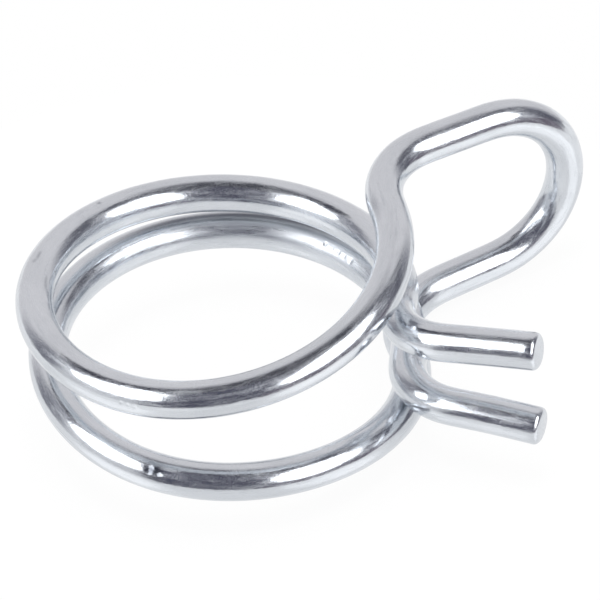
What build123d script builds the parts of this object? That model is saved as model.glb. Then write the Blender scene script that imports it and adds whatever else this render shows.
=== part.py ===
from build123d import *
import os
from math import atan2, cos, degrees, radians, sin, sqrt, tan

# A double-wire spring hose clamp, bent from one length of round spring wire.
# From the finger loop each half of the wire runs in along a leg, bends onto its coil, goes round
# just over one turn and bends out again as a tail. The tails come out between the loop's two legs,
# so pressing the tails and the loop together opens both coils.
# Frame: the hose lies along Z, the origin is the middle of the coils, and the loop points along +X.
# Lengths are in millimetres and angles in degrees, measured from +X towards +Y.

# Wire
wire_diameter = 2.0
end_rounding = 0.3

# Coils, one for each half of the wire
coil_bore = 17.1
coil_stagger = 0.3
coil_stagger_angle = -24.5
coil_back_gap = 0.58
coil_dip = 0.69

# Tails, with the gap between them at their roots. Each droops a little before its straight tip
tail_gap = 2.45
tail_root_angle = -37.4
tail_bend_radius = 3.6
tail_tip = 1.4
upper_tail_length = 5.2
upper_tail_angle = -46.8
upper_tail_climb = 5.5
upper_tail_droop = 0.04
lower_tail_length = 5.0
lower_tail_angle = -49.5
lower_tail_climb = -0.5
lower_tail_droop = 0.12

# Finger loop and its two legs, with the gap between a leg and the tail beside it
leg_tail_gap = 0.64
leg_length = 3.5
leg_flare = 1.9
leg_bend_radius = 4.2
loop_offset = 1.42

# Heights at even steps along a half, from the leg's inner end to the tail's root.
# The wire falls from the leg to the back of the coil, then rises to the tail, and both coils dip together.
fall_shares = (1, 0.9, 0.58, 0.35, 0.18, 0.04, 0, 0, 0)
rise_shares = (0, 0, 0, 0, 0, 0, 0, 0.34, 1)
dip_shares = (0, 0, 0, 0, 0.53, 0, -0.9, -1, 0)

# Number of arcs in each bend and in each coil
bend_arcs = 4
coil_arcs = 18

wire_radius = wire_diameter / 2
coil_radius = coil_bore / 2 + wire_radius
back_height = wire_radius + coil_back_gap / 2
tail_height = wire_radius + tail_gap / 2
leg_height = tail_height + wire_diameter + leg_tail_gap

# In plan the leg's bend touches the leg and, from outside, the coil
leg_bend_y = loop_offset - leg_bend_radius
leg_inner_x = sqrt((coil_radius + leg_bend_radius) ** 2 - leg_bend_y ** 2)

# The loop's arc touches both legs
flare = radians(leg_flare)
loop_radius = (leg_height - leg_length * sin(flare)) / cos(flare)
loop_x = leg_inner_x + leg_length * cos(flare) - loop_radius * sin(flare)
loop_centre = Vector(loop_x, loop_offset, 0)


def on_circle(centre, radius, angle):
    """The point of a level circle at an angle."""
    return centre + Vector(radius * cos(radians(angle)), radius * sin(radians(angle)))


def arc_run(centre, radius, start_angle, end_angle, count):
    """Points that divide a level arc into equal steps, without its first point, and the step's length."""
    step_angle = (end_angle - start_angle) / count
    points = [on_circle(centre, radius, start_angle + step_angle * (i + 1)) for i in range(count)]
    return points, radius * abs(radians(step_angle))


def height_curve(side, start_height, tail_climb, length):
    """The wire's height against the length run from the leg, drawn in the XY plane."""
    step = length / (len(fall_shares) - 1)
    knots = []
    for i, (fall, rise, dip) in enumerate(zip(fall_shares, rise_shares, dip_shares)):
        height = back_height + fall * (start_height - back_height) + rise * (tail_height - back_height)
        knots.append((i * step, side * height + dip * coil_dip))
    start_slope = (cos(flare), side * sin(flare))
    end_slope = (cos(radians(tail_climb)), side * sin(radians(tail_climb)))
    return Spline(*knots, tangents=(start_slope, end_slope))


def half_wire(side, tail_length, tail_angle, tail_climb, tail_droop):
    """Centre line of the upper (side 1) or lower (side -1) half, from the loop's arc to the tail's end."""
    # Half of the stagger moves each coil, so its bend meets it a little nearer or further along the leg
    coil_centre = on_circle(Vector(), coil_stagger / 2, coil_stagger_angle) * -side
    leg_bend_run = sqrt((coil_radius + leg_bend_radius) ** 2 - (leg_bend_y - coil_centre.Y) ** 2)
    leg_bend_centre = Vector(coil_centre.X + leg_bend_run, leg_bend_y)
    coil_start = degrees(atan2(leg_bend_y - coil_centre.Y, leg_bend_run))
    coil_end = tail_root_angle - 360
    tail_bend_centre = on_circle(coil_centre, coil_radius + tail_bend_radius, coil_end)

    runs = (
        arc_run(leg_bend_centre, leg_bend_radius, 90, coil_start + 180, bend_arcs),
        arc_run(coil_centre, coil_radius, coil_start, coil_end, coil_arcs),
        arc_run(tail_bend_centre, tail_bend_radius, coil_end + 180, tail_angle - 90, bend_arcs),
    )
    length = sum(len(points) * step for points, step in runs)

    # The leg is a straight run from the loop's arc to the bend
    leg_outer = loop_centre + Vector(loop_radius * sin(flare), 0, side * loop_radius * cos(flare))
    start_height = loop_radius * cos(flare) + tan(flare) * (leg_outer.X - leg_bend_centre.X)
    leg = Line(leg_outer, (leg_bend_centre.X, loop_offset, side * start_height))

    # Each arc leaves the piece before it without a kink
    heights = height_curve(side, start_height, tail_climb, length)
    edges = [leg]
    done = 0
    for points, step in runs:
        for point in points:
            done += step
            target = Vector(point.X, point.Y, (heights @ (done / length)).Y)
            edges.append(TangentArc(edges[-1] @ 1, target, tangent=edges[-1] % 1))
    tail_root = edges[-1] @ 1
    tip_start = tail_root + (edges[-1] % 1) * (tail_length - tail_tip) - Vector(0, 0, tail_droop)
    edges.append(TangentArc(tail_root, tip_start, tangent=edges[-1] % 1))
    edges.append(Line(tip_start, tip_start + (edges[-1] % 1) * tail_tip))
    return edges


def spring_wire():
    """The wire swept along both halves and the loop's arc, with its cut ends rounded."""
    upper = half_wire(1, upper_tail_length, upper_tail_angle, upper_tail_climb, upper_tail_droop)
    lower = half_wire(-1, lower_tail_length, lower_tail_angle, lower_tail_climb, lower_tail_droop)
    loop_tip = loop_centre + Vector(loop_radius, 0, 0)
    loop_arc = ThreePointArc(upper[0] @ 0, loop_tip, lower[0] @ 0)
    path = Wire(upper[::-1] + [loop_arc] + lower)
    section = Plane(path @ 0, z_dir=path % 0) * Circle(wire_radius)
    wire = sweep(section, path=path)
    return fillet(wire.faces().filter_by(GeomType.PLANE).edges(), end_rounding)


os.makedirs("parts", exist_ok=True)
export_step(spring_wire(), "parts/spring_wire.step")
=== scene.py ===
"""Looks of a spring hose clamp of bright plated wire, photographed on white.

The wire is swept again along the solid's own centre line, finely enough for clean reflections, and it
carries its straightened place on every point, so that draw lines and marks follow the wire round.
"""

from math import atan2, cos, pi, radians, sin, sqrt, tan

import bpy
import numpy as np
from mathutils import Matrix, Vector


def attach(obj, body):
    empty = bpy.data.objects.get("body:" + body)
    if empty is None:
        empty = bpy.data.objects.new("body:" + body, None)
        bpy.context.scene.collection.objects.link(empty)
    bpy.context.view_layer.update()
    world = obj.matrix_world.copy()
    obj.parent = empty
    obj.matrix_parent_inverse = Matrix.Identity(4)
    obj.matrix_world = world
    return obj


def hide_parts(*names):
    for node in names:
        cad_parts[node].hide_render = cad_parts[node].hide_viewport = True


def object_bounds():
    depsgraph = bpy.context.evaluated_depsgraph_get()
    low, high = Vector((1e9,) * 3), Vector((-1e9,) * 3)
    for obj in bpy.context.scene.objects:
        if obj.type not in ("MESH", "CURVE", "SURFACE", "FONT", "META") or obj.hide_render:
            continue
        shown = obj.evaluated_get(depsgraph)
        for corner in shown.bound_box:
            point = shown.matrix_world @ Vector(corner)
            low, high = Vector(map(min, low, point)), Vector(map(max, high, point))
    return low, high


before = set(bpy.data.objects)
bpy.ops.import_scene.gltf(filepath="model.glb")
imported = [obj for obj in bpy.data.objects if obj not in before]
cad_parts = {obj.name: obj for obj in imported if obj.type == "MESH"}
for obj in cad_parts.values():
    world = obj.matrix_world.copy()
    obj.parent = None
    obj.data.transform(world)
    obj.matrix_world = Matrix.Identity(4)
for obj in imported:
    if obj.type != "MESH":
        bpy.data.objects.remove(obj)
cad_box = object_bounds()

MM = 0.001

# Wire
wire_radius = 1.0 * MM
end_rounding = 0.3 * MM

# Coils
coil_bore = 17.1 * MM
coil_stagger = 0.3 * MM
coil_stagger_angle = radians(-24.5)
coil_back_gap = 0.58 * MM
coil_dip = 0.69 * MM

# Tails, with the length, angle, climb and droop of the upper and the lower one
tail_gap = 2.45 * MM
tail_root_angle = radians(-37.4)
tail_bend_radius = 3.6 * MM
tail_tip = 1.4 * MM
tails = {
    1: (5.2 * MM, radians(-46.8), radians(5.5), 0.04 * MM),
    -1: (5.0 * MM, radians(-49.5), radians(-0.5), 0.12 * MM),
}

# Finger loop and legs
leg_tail_gap = 0.64 * MM
leg_length = 3.5 * MM
leg_flare = radians(1.9)
leg_bend_radius = 4.2 * MM
loop_offset = 1.42 * MM

# Heights at even steps from the leg's inner end to the tail's root
fall_shares = (1, 0.9, 0.58, 0.35, 0.18, 0.04, 0, 0, 0)
rise_shares = (0, 0, 0, 0, 0, 0, 0, 0.34, 1)
dip_shares = (0, 0, 0, 0, 0.53, 0, -0.9, -1, 0)

# Sizes that follow from those above
coil_radius = coil_bore / 2 + wire_radius
back_height = wire_radius + coil_back_gap / 2
tail_height = wire_radius + tail_gap / 2
leg_height = tail_height + 2 * wire_radius + leg_tail_gap
leg_bend_y = loop_offset - leg_bend_radius
leg_inner_x = sqrt((coil_radius + leg_bend_radius) ** 2 - leg_bend_y ** 2)
loop_radius = (leg_height - leg_length * sin(leg_flare)) / cos(leg_flare)
loop_x = leg_inner_x + leg_length * cos(leg_flare) - loop_radius * sin(leg_flare)

# Fineness of the swept mesh
ring_step = 0.3 * MM
ring_points = 96
line_step = 0.1 * MM
bend_easing = 1.0 * MM
end_rings = 6

# Marks in the surface: place along the wire, degrees round it, half length, half width and height,
# with lengths in millimetres. First a nick on the lower coil, with a raised lip
marks = (
    (129.62, 64, 0.16, 0.15, -0.055),
    (129.36, 76, 0.14, 0.13, 0.04),
    (129.20, 60, 0.22, 0.08, -0.03),
    # A row of pits at the back of the lower coil
    (161.58, 147, 0.10, 0.09, -0.05),
    (162.12, 149, 0.08, 0.08, -0.04),
    (162.60, 151, 0.10, 0.09, -0.05),
    (163.07, 152, 0.08, 0.08, -0.04),
    (163.62, 155, 0.11, 0.10, -0.05),
    # Pits on the front of the upper coil
    (52.44, 6, 0.10, 0.09, -0.035),
    (52.80, 9, 0.09, 0.08, -0.03),
    (53.14, 14, 0.11, 0.09, -0.035),
    # Scratches and a pit on its left side
    (41.40, -107, 0.70, 0.06, -0.025),
    (41.90, -122, 0.45, 0.05, -0.02),
    (39.45, -70, 0.40, 0.06, -0.025),
    (40.05, -66, 0.15, 0.15, -0.02),
    (33.80, -73, 0.10, 0.08, -0.03),
)

# The mesh is finer at the marks, by this step and for this many half lengths to either side of a mark.
# Further away than the limit, also in half lengths, a mark has no effect
mark_step = 0.05 * MM
mark_reach = 2
mark_limit = 4

# Worn stretches of the wire: middle, half length and amount
worn_stretches = (
    (159.5 * MM, 7.5 * MM, 0.85),
    (104.0 * MM, 4.0 * MM, 0.3),
)

# Darkened patches: place along the wire, degrees round it from 0 to 360, half length in millimetres, half
# width in degrees and amount. First painted shade on the top of the lower coil's back, under the upper coil
# where the coils nearly touch, then the dull nick
shade_and_dull_patches = (
    (156.0, 105, 6.8, 14, 0.8),
    (129.4, 66, 0.5, 22, 0.75),
    # The scratches and the pit on the upper coil's left side
    (41.60, 246, 0.60, 4, 0.35),
    (39.45, 292, 0.35, 4.5, 0.35),
    (39.95, 298, 0.15, 6, 0.25),
    (33.80, 287, 0.12, 5, 0.5),
)
# Colour of the darkened patches: painted shade at the lower coil's back, dull plating at the nick,
# scratches and pit
shade_and_dull_colour = (0.02, 0.03, 0.06)

# Power of the fall-off along worn stretches and along the patches of painted shade and dull marks, which
# leaves their middles even
even_power = 4

# Noise on the straightened wire: scale along it against across it, overall scale and detail
line_noise = (0.06, 6, 4)
mottle_noise = (0.18, 5, 5)
grain_noise = (0.5, 14, 4)
tone_noise = (0.35, 0.8, 3)
speck_noise = (0.3, 90, 1)

# Zinc plate: its colour over the tone noise, its roughness over the draw lines and what wear adds to it
zinc_colours = ((0.3, (0.66, 0.69, 0.73)), (0.7, (0.73, 0.76, 0.80)))
line_roughness = ((0.38, 0.06), (0.54, 0.10), (0.74, 0.34))
wear_roughness = 0.25

# Dull specks: how much the mottle crowds them, the span over which their noise and the mottle's share
# together turn dull, and what they add to the roughness
speck_crowding = 0.5
speck_span = (0.76, 0.90)
speck_roughness = 0.36

# Height of the bumps and how strongly each noise shows in them
bump_height = 0.02 * MM
line_bump = 0.25
mottle_bump = 0.25
grain_bump = 0.2

# Sockets of a node that mixes colours
mix_first = 6
mix_second = 7
mix_result = 2

# Camera, as the photograph has it
camera_azimuth = radians(-24.52)
camera_elevation = radians(39.96)
camera_roll = radians(5.74)
camera_offset = (4.062 * MM, 1.035 * MM, 350 * MM)
camera_lens = 400.0
camera_sensor = 36.0
camera_near = 10 * MM

# Floor
floor_radius = 28 * MM
floor_sides = 96
floor_colour = (0.9, 0.9, 0.9)
floor_glow = 0.93
floor_gloss = 0.2
floor_shine = 0.15

# Lamp over the floor
lamp_power = 1.0
lamp_size = 250 * MM
lamp_height = 500 * MM

# The rest of the studio stands on spheres round the object. Its angles are in degrees, with azimuths
# counted from the camera's side towards the right of the picture.
# Domes: radius, elevation of the foot, width of its soft edge and colour
domes = {
    "tent": (800 * MM, -9, 0, (0.26, 0.26, 0.295)),
    "cap": (780 * MM, 52, 24, (0.085, 0.085, 0.10)),
}
dome_columns = 72
dome_rows = 24

# Soft boxes by their corners' azimuth and elevation
box_radius = 600 * MM
box_light = 3.0
box_colour = (1, 1, 1)
box_corners = {
    "box_left": (
        (-103, 63), (-81, 65), (-65, 62), (-56, 57), (-50, 49), (-45, 41), (-41, 32),
        (-43, 26), (-50, 21), (-58, 17), (-70, 15), (-86, 20), (-96, 32),
    ),
    "box_right": (
        (58, 61), (76, 59), (90, 53), (87, 38), (81, 28), (73, 19), (63, 12),
        (46, 7), (32, 8), (23, 15), (22, 30), (30, 45), (43, 55),
    ),
}

# Cards: azimuth from and to, elevation from and to, width of the soft edge, radius and colour
cards = {
    "card_back": (112, 246, -9, 74, 24, 760 * MM, (0.79, 0.77, 0.78)),
    "card_front": (-52, 22, -9, 82, 9, 740 * MM, (0.112, 0.112, 0.146)),
    "card_left": (-102, -42, -9, 30, 12, 720 * MM, (0.70, 0.70, 0.72)),
    "card_side": (82, 116, -12, 28, 8, 710 * MM, (0.13, 0.13, 0.16)),
    "card_right": (12, 98, -16, 6, 5, 700 * MM, (0.175, 0.155, 0.19)),
    "card_high": (-148, -104, 48, 72, 7, 690 * MM, (0.065, 0.065, 0.085)),
    "card_far": (90, 126, 26, 70, 8, 690 * MM, (0.145, 0.145, 0.17)),
    "card_low": (8, 88, -80, -16, 16, 730 * MM, (1.3, 1.3, 1.3)),
}
card_columns = 48
card_rows = 32


def arc(centre, radius, start, end):
    """Points of a level arc, without its first one."""
    count = max(2, round(radius * abs(end - start) / line_step))
    angles = np.linspace(start, end, count + 1)[1:]
    return np.stack([centre[0] + radius * np.cos(angles), centre[1] + radius * np.sin(angles)], axis=1)


def straight(start, end):
    """Points of a straight run, without its first one."""
    count = max(2, round(np.linalg.norm(end - start) / line_step))
    shares = np.linspace(0, 1, count + 1)[1:, None]
    return start + (end - start) * shares


def run_lengths(points):
    """Length run up to each point of a line."""
    steps = np.linalg.norm(np.diff(points, axis=0), axis=1)
    return np.concatenate([[0], np.cumsum(steps)])


def height_law(side, start_height, tail_climb, length):
    """A smooth curve through the heights, as a function of the length run from the leg's inner end."""
    fall, rise, dip = (np.array(shares) for shares in (fall_shares, rise_shares, dip_shares))
    height = back_height + fall * (start_height - back_height) + rise * (tail_height - back_height)
    knots = side * height + dip * coil_dip
    count = len(knots)
    step = length / (count - 1)

    # Slopes at the knots that leave no jump in curvature
    matrix = np.eye(count)
    right = np.zeros(count)
    right[0] = side * tan(leg_flare)
    right[-1] = side * tan(tail_climb)
    for i in range(1, count - 1):
        matrix[i, i - 1:i + 2] = (1, 4, 1)
        right[i] = 3 * (knots[i + 1] - knots[i - 1]) / step
    slopes = np.linalg.solve(matrix, right)

    def at(run):
        place = np.clip(run / step, 0, count - 1)
        i = np.minimum(place.astype(int), count - 2)
        t = place - i
        ends = knots[i] * (1 + 2 * t) * (1 - t) ** 2 + knots[i + 1] * t ** 2 * (3 - 2 * t)
        bends = slopes[i] * t * (1 - t) ** 2 - slopes[i + 1] * t ** 2 * (1 - t)
        return ends + step * bends

    return at


def half_line(side):
    """Centre line of the upper (side 1) or lower (side -1) half, from the loop's arc to the tail's end."""
    tail_length, tail_angle, tail_climb, tail_droop = tails[side]
    coil_centre = -side * coil_stagger / 2 * np.array([cos(coil_stagger_angle), sin(coil_stagger_angle)])
    leg_bend_run = sqrt((coil_radius + leg_bend_radius) ** 2 - (leg_bend_y - coil_centre[1]) ** 2)
    leg_bend_centre = np.array([coil_centre[0] + leg_bend_run, leg_bend_y])
    coil_start = atan2(leg_bend_y - coil_centre[1], leg_bend_run)
    coil_end = tail_root_angle - 2 * pi
    root_direction = np.array([cos(coil_end), sin(coil_end)])
    tail_bend_centre = coil_centre + (coil_radius + tail_bend_radius) * root_direction

    # The leg's bend, the coil and the tail's bend, which follow the curve of heights
    leg_inner = np.array([leg_bend_centre[0], loop_offset])
    turn = np.concatenate([
        leg_inner[None, :],
        arc(leg_bend_centre, leg_bend_radius, pi / 2, coil_start + pi),
        arc(coil_centre, coil_radius, coil_start, coil_end),
        arc(tail_bend_centre, tail_bend_radius, coil_end + pi, tail_angle - pi / 2),
    ])
    runs = run_lengths(turn)
    leg_outer = np.array([loop_x + loop_radius * sin(leg_flare), loop_offset])
    outer_height = loop_radius * cos(leg_flare)
    start_height = outer_height + tan(leg_flare) * (leg_outer[0] - leg_inner[0])
    heights = height_law(side, start_height, tail_climb, runs[-1])(runs)

    # The straight leg
    leg = np.concatenate([leg_outer[None, :], straight(leg_outer, leg_inner)])
    leg_heights = side * np.interp(-leg[:, 0], (-leg_outer[0], -leg_inner[0]), (outer_height, start_height))

    # The tail droops along a curve and then has a straight tip
    tail_run = tail_length * cos(tail_climb)
    tail_end = turn[-1] + tail_run * np.array([cos(tail_angle), sin(tail_angle)])
    tail = straight(turn[-1], tail_end)
    tail_runs = np.linalg.norm(tail - turn[-1], axis=1)
    bow = tail_run - tail_tip
    droops = np.minimum(tail_runs / bow, 1) ** 2 + 2 * np.maximum(tail_runs / bow - 1, 0)
    tail_heights = heights[-1] + side * tan(tail_climb) * tail_runs - tail_droop * droops

    plan = np.concatenate([leg[:-1], turn, tail])
    return np.column_stack([plan, np.concatenate([leg_heights[:-1], heights, tail_heights])])


def loop_line():
    """Centre line of the loop's arc from the upper to the lower leg, without its ends."""
    count = round(loop_radius * pi / line_step)
    angles = np.linspace(pi / 2 - leg_flare, leg_flare - pi / 2, count + 1)[1:-1]
    return np.column_stack([
        loop_x + loop_radius * np.cos(angles),
        np.full(len(angles), loop_offset),
        loop_radius * np.sin(angles),
    ])


def eased(points):
    """The line with its changes of curvature softened, its ends left where they are."""
    reach = round(bend_easing / line_step)
    window = np.hanning(2 * reach + 1)
    window /= window.sum()
    before = 2 * points[0] - points[reach:0:-1]
    after = 2 * points[-1] - points[-2:-reach - 2:-1]
    padded = np.concatenate([before, points, after])
    return np.stack([np.convolve(padded[:, k], window, mode="valid") for k in range(3)], axis=1)


def even_places(length, step):
    """Places at even steps of a length."""
    return np.linspace(0, length, round(length / step) + 1)


def points_at(points, runs, places):
    """The line's points at the given lengths along it."""
    return np.stack([np.interp(places, runs, points[:, k]) for k in range(3)], axis=1)


def wire_line():
    """Centre line of the whole wire, from the upper tail's end to the lower tail's, and its places."""
    line = np.concatenate([half_line(1)[::-1], loop_line(), half_line(-1)])
    runs = run_lengths(line)
    line = eased(points_at(line, runs, even_places(runs[-1], line_step)))
    runs = run_lengths(line)

    # Even steps, with finer ones at the marks, less those that nearly meet
    places = even_places(runs[-1], ring_step)
    for place, _, half_length, _, _ in marks:
        reach = mark_reach * half_length * MM
        places = np.union1d(places, place * MM - reach + even_places(2 * reach, mark_step))
    places = places[np.diff(places, prepend=-mark_step) > mark_step / 2]
    return points_at(line, runs, places), places


def ring_frames(points, places):
    """Directions along the line and two across it, carried along without twist."""
    along = np.gradient(points, places, axis=0)
    along /= np.linalg.norm(along, axis=1)[:, None]
    across = np.cross(along[0], (0, 0, 1))
    sides = []
    for ahead in along:
        across = across - ahead * (across @ ahead)
        across /= np.linalg.norm(across)
        sides.append(across)
    sides = np.array(sides)
    return along, sides, np.cross(along, sides)


def wire_rings(places):
    """Each ring's number on the line, its shift along it and its radius, with extra rings at the ends."""
    margin = end_rounding + mark_step
    inner = np.flatnonzero((places > margin) & (places < places[-1] - margin))
    first_end = []
    last_end = []
    for turn in np.linspace(0, pi / 2, end_rings + 1):
        radius = wire_radius - end_rounding * (1 - cos(turn))
        inset = end_rounding * (1 - sin(turn))
        first_end.append((0, inset, radius))
        last_end.append((len(places) - 1, -inset, radius))
    return first_end[::-1] + [(i, 0, wire_radius) for i in inner] + last_end


def mark_height(place, angle):
    """How far the marks lift the surface at a place along the wire and an angle round it."""
    height = 0
    for middle, degrees, half_length, half_width, top in marks:
        along = place / MM - middle
        if abs(along) < mark_limit * half_length:
            across = wire_radius / MM * ((angle - radians(degrees) + pi) % (2 * pi) - pi)
            height += top * MM * np.exp(-(along / half_length) ** 2 - (across / half_width) ** 2)
    return height


def wear(place):
    """How worn the wire is at a place, from 0 to 1."""
    total = 0
    for middle, half_length, amount in worn_stretches:
        total += amount * np.exp(-((place - middle) / half_length) ** even_power)
    return total


def shade_and_dullness(place, angle):
    """How dark the wire is made at a place and an angle, from 0 to 1: painted shade at the lower coil's
    back, dull marks elsewhere.
    """
    total = 0
    for middle, degrees, half_length, half_width, amount in shade_and_dull_patches:
        along = (place / MM - middle) / half_length
        across = (angle - radians(degrees)) / radians(half_width)
        total += amount * np.exp(-along ** even_power - across ** 2)
    return total


def point_values(mesh, name, values):
    """A number on each point of a mesh, for its material to read."""
    numbers = mesh.attributes.new(name, "FLOAT", "POINT")
    numbers.data.foreach_set("value", np.array(values, np.float32))


def wire_mesh():
    """The wire's mesh, with rounded cut ends and each point's place on the straightened wire."""
    centres, places = wire_line()
    along, first, second = ring_frames(centres, places)
    rings = wire_rings(places)
    angles = np.arange(ring_points) * 2 * pi / ring_points
    vertices = []
    straightened = []
    worn = []
    shade_and_dull_values = []
    for i, shift, radius in rings:
        centre = centres[i] + along[i] * shift
        place = places[i] + shift
        for angle in angles:
            reach = radius + mark_height(place, angle)
            vertices.append(centre + reach * (cos(angle) * first[i] + sin(angle) * second[i]))
            straightened.append((radius * cos(angle), radius * sin(angle), place))
            worn.append(wear(place))
            # Painted shade at the lower coil's back and dull marks elsewhere, from the darkened patches
            shade_and_dull_values.append(shade_and_dullness(place, angle))

    # Quads between the rings and one flat face at either end
    faces = []
    for ring in range(len(rings) - 1):
        for k in range(ring_points):
            a = ring * ring_points + k
            b = ring * ring_points + (k + 1) % ring_points
            faces.append((a, b, b + ring_points, a + ring_points))
    last = (len(rings) - 1) * ring_points
    faces.append(tuple(range(ring_points - 1, -1, -1)))
    faces.append(tuple(range(last, last + ring_points)))

    mesh = bpy.data.meshes.new("wire")
    mesh.from_pydata([tuple(v) for v in vertices], [], faces)
    mesh.shade_smooth()
    vectors = mesh.attributes.new("straightened", "FLOAT_VECTOR", "POINT")
    vectors.data.foreach_set("vector", np.array(straightened, np.float32).ravel() / MM)
    point_values(mesh, "wear", worn)
    point_values(mesh, "shade_and_dull", shade_and_dull_values)
    mesh.update()
    return mesh


def new_material(name):
    """An empty node material, its node tree and its output."""
    material = bpy.data.materials.new(name)
    material.use_nodes = True
    tree = material.node_tree
    tree.nodes.clear()
    return material, tree, tree.nodes.new("ShaderNodeOutputMaterial")


def attribute(tree, name, output):
    """One of the mesh's own attributes."""
    node = tree.nodes.new("ShaderNodeAttribute")
    node.attribute_name = name
    return node.outputs[output]


def wire_noise(tree, place, along_scale, scale, detail):
    """Noise on the straightened wire, drawn out along it."""
    mapping = tree.nodes.new("ShaderNodeMapping")
    mapping.inputs["Scale"].default_value = (1, 1, along_scale)
    tree.links.new(place, mapping.inputs["Vector"])
    noise = tree.nodes.new("ShaderNodeTexNoise")
    noise.inputs["Scale"].default_value = scale
    noise.inputs["Detail"].default_value = detail
    tree.links.new(mapping.outputs["Vector"], noise.inputs["Vector"])
    return noise.outputs["Fac"]


def ramp(tree, value, stops):
    """A colour ramp over a value."""
    node = tree.nodes.new("ShaderNodeValToRGB")
    node.color_ramp.elements.remove(node.color_ramp.elements[0])
    for i, (position, colour) in enumerate(stops):
        element = node.color_ramp.elements[0] if i == 0 else node.color_ramp.elements.new(position)
        element.position = position
        element.color = (*colour, 1)
    tree.links.new(value, node.inputs["Fac"])
    return node.outputs["Color"]


def remap(tree, value, low, high, start=0, end=1):
    """A value carried from one range, 0 to 1 unless said, to another and kept within it."""
    node = tree.nodes.new("ShaderNodeMapRange")
    node.inputs["From Min"].default_value = start
    node.inputs["From Max"].default_value = end
    node.inputs["To Min"].default_value = low
    node.inputs["To Max"].default_value = high
    tree.links.new(value, node.inputs["Value"])
    return node.outputs["Result"]


def added(tree, first, second):
    """The sum of two values."""
    node = tree.nodes.new("ShaderNodeMath")
    node.operation = "ADD"
    tree.links.new(first, node.inputs[0])
    tree.links.new(second, node.inputs[1])
    return node.outputs["Value"]


def bump(tree, height, strength, normal=None):
    """A bump from a height, added to the one before it."""
    node = tree.nodes.new("ShaderNodeBump")
    node.inputs["Distance"].default_value = bump_height
    node.inputs["Strength"].default_value = strength
    tree.links.new(height, node.inputs["Height"])
    if normal is not None:
        tree.links.new(normal, node.inputs["Normal"])
    return node.outputs["Normal"]


def mixed(tree, share, first, second):
    """A shader that goes from the first to the second as the share goes from 0 to 1."""
    node = tree.nodes.new("ShaderNodeMixShader")
    tree.links.new(share, node.inputs["Fac"])
    tree.links.new(first, node.inputs[1])
    tree.links.new(second, node.inputs[2])
    return node.outputs["Shader"]


def zinc_material():
    """Bright zinc plate on drawn wire: draw lines along it, a fine grain, and duller, pitted stretches."""
    material, tree, output = new_material("zinc_wire")
    shader = tree.nodes.new("ShaderNodeBsdfPrincipled")
    shader.inputs["Metallic"].default_value = 1
    place = attribute(tree, "straightened", "Vector")
    lines = wire_noise(tree, place, *line_noise)
    mottle = wire_noise(tree, place, *mottle_noise)
    grain = wire_noise(tree, place, *grain_noise)

    # Two close tones of zinc, darkened with painted shade at the lower coil's back and on the dull marks
    shade = tree.nodes.new("ShaderNodeMix")
    shade.data_type = "RGBA"
    shade.inputs[mix_second].default_value = (*shade_and_dull_colour, 1)
    tree.links.new(attribute(tree, "shade_and_dull", "Fac"), shade.inputs["Factor"])
    tree.links.new(ramp(tree, wire_noise(tree, place, *tone_noise), zinc_colours), shade.inputs[mix_first])
    tree.links.new(shade.outputs[mix_result], shader.inputs["Base Color"])

    # Rougher on draw lines, on specks and where the wire is worn
    haze = ramp(tree, lines, [(position, (value, value, value)) for position, value in line_roughness])
    specks = added(tree, wire_noise(tree, place, *speck_noise), remap(tree, mottle, 0, speck_crowding))
    haze = added(tree, haze, remap(tree, specks, 0, speck_roughness, *speck_span))
    haze = added(tree, haze, remap(tree, attribute(tree, "wear", "Fac"), 0, wear_roughness))
    tree.links.new(haze, shader.inputs["Roughness"])

    normal = bump(tree, lines, line_bump)
    normal = bump(tree, mottle, mottle_bump, normal)
    normal = bump(tree, grain, grain_bump, normal)
    tree.links.new(normal, shader.inputs["Normal"])
    tree.links.new(shader.outputs["BSDF"], output.inputs["Surface"])
    return material


def build_wire():
    """The wire as one piece in place of its solid."""
    wire = bpy.data.objects.new("wire", wire_mesh())
    bpy.context.scene.collection.objects.link(wire)
    wire.data.materials.append(zinc_material())
    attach(wire, "root")
    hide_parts("spring_wire")


def build_camera():
    """The camera at the photograph's place."""
    camera = bpy.data.objects.new("camera", bpy.data.cameras.new("camera"))
    camera.data.lens = camera_lens
    camera.data.sensor_width = camera_sensor
    camera.data.clip_start = camera_near
    turn = Matrix.Rotation(camera_azimuth, 4, "Z") @ Matrix.Rotation(pi / 2 - camera_elevation, 4, "X")
    turn = turn @ Matrix.Rotation(-camera_roll, 4, "Z")
    camera.matrix_world = turn @ Matrix.Translation(camera_offset)
    bpy.context.scene.collection.objects.link(camera)
    bpy.context.scene.camera = camera


def direction(azimuth, elevation):
    """A direction from the object, its azimuth counted from the camera's side."""
    turn = camera_azimuth - pi / 2 + radians(azimuth)
    rise = radians(elevation)
    return Vector((cos(turn) * cos(rise), sin(turn) * cos(rise), sin(rise)))


def smooth_step(value):
    """A value from 0 to 1 with soft ends."""
    value = np.clip(value, 0, 1)
    return value * value * (3 - 2 * value)


def glow_piece(name, vertices, faces, cover, colour, light=1):
    """A glowing piece of the studio that the camera doesn't see, as solid as its cover says."""
    mesh = bpy.data.meshes.new(name)
    mesh.from_pydata(vertices, [], faces)
    point_values(mesh, "cover", cover)
    material, tree, output = new_material(name)
    glow = tree.nodes.new("ShaderNodeEmission")
    glow.inputs["Color"].default_value = (*colour, 1)
    glow.inputs["Strength"].default_value = light
    clear = tree.nodes.new("ShaderNodeBsdfTransparent")
    share = attribute(tree, "cover", "Fac")
    surface = mixed(tree, share, clear.outputs["BSDF"], glow.outputs["Emission"])
    tree.links.new(surface, output.inputs["Surface"])
    mesh.materials.append(material)
    piece = bpy.data.objects.new(name, mesh)
    piece.visible_camera = False
    piece.visible_diffuse = False
    piece.visible_shadow = False
    bpy.context.scene.collection.objects.link(piece)


def grid_faces(columns, rows):
    """Quads of a grid whose points run along its rows."""
    faces = []
    for row in range(rows):
        for column in range(columns):
            a = row * (columns + 1) + column
            b = a + columns + 1
            faces.append((a, a + 1, b + 1, b))
    return faces


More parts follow.
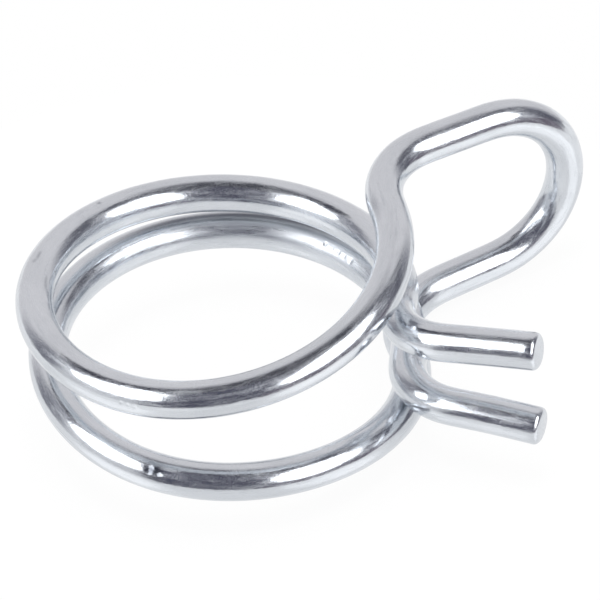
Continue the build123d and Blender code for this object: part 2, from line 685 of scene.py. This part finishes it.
def card(name, left, right, low, high, edge, radius, colour):
    """A card on a sphere round the object, with soft sides, a soft top and a hard foot."""
    vertices = []
    cover = []
    for elevation in np.linspace(low, high, card_rows + 1):
        for azimuth in np.linspace(left, right, card_columns + 1):
            vertices.append(direction(azimuth, elevation) * radius)
            inside = min(azimuth - left, right - azimuth, high - elevation)
            cover.append(smooth_step(inside / edge))
    glow_piece(name, vertices, grid_faces(card_columns, card_rows), cover, colour)


def dome(name, radius, foot, edge, colour):
    """A dim dome round the object from an elevation up, with a soft foot where it has an edge."""
    vertices = []
    cover = []
    for elevation in np.linspace(foot, 90, dome_rows + 1):
        for azimuth in np.linspace(-180, 180, dome_columns + 1):
            vertices.append(direction(azimuth, elevation) * radius)
            cover.append(smooth_step((elevation - foot) / edge) if edge else 1)
    glow_piece(name, vertices, grid_faces(dome_columns, dome_rows), cover, colour)


def soft_box(name, corners):
    """A bright soft box with the given corners."""
    vertices = [direction(*corner) * box_radius for corner in corners]
    glow_piece(name, vertices, [range(len(vertices))], [1] * len(vertices), box_colour, box_light)


def floor_material():
    """White to the camera and in reflections, with a faint shadow, and a little gloss in reflections."""
    material, tree, output = new_material("floor")
    diffuse = tree.nodes.new("ShaderNodeBsdfDiffuse")
    diffuse.inputs["Color"].default_value = (*floor_colour, 1)
    glow = tree.nodes.new("ShaderNodeEmission")
    gloss = tree.nodes.new("ShaderNodeBsdfGlossy")
    gloss.inputs["Roughness"].default_value = floor_gloss
    path = tree.nodes.new("ShaderNodeLightPath")
    mirrored = path.outputs["Is Glossy Ray"]
    shown = added(tree, path.outputs["Is Camera Ray"], mirrored)
    shown = added(tree, shown, path.outputs["Is Transmission Ray"])
    white_share = remap(tree, shown, 0, floor_glow)
    gloss_share = remap(tree, mirrored, 0, floor_shine)
    surface = mixed(tree, white_share, diffuse.outputs["BSDF"], glow.outputs["Emission"])
    surface = mixed(tree, gloss_share, surface, gloss.outputs["BSDF"])
    tree.links.new(surface, output.inputs["Surface"])
    return material


def build_floor():
    """A white floor right under the wire."""
    turns = np.arange(floor_sides) * 2 * pi / floor_sides
    rim = [(floor_radius * cos(turn), floor_radius * sin(turn), 0) for turn in turns]
    mesh = bpy.data.meshes.new("floor")
    mesh.from_pydata(rim, [], [range(floor_sides)])
    mesh.materials.append(floor_material())
    floor = bpy.data.objects.new("floor", mesh)
    floor.location.z = cad_box[0].z
    bpy.context.scene.collection.objects.link(floor)


def build_world():
    """A plain white surround."""
    world = bpy.data.worlds.new("world")
    world.use_nodes = True
    world.node_tree.nodes["Background"].inputs["Color"].default_value = (1, 1, 1, 1)
    bpy.context.scene.world = world


def build_lamp():
    """A broad lamp overhead for the floor, which the wire doesn't mirror."""
    lamp = bpy.data.objects.new("lamp", bpy.data.lights.new("lamp", "AREA"))
    lamp.data.energy = lamp_power
    lamp.data.size = lamp_size
    lamp.location.z = lamp_height
    lamp.visible_glossy = False
    bpy.context.scene.collection.objects.link(lamp)


build_wire()
build_camera()
build_floor()
build_world()
build_lamp()
for name, values in domes.items():
    dome(name, *values)
for name, corners in box_corners.items():
    soft_box(name, corners)
for name, values in cards.items():
    card(name, *values)

bpy.context.scene.view_settings.view_transform = "Standard"
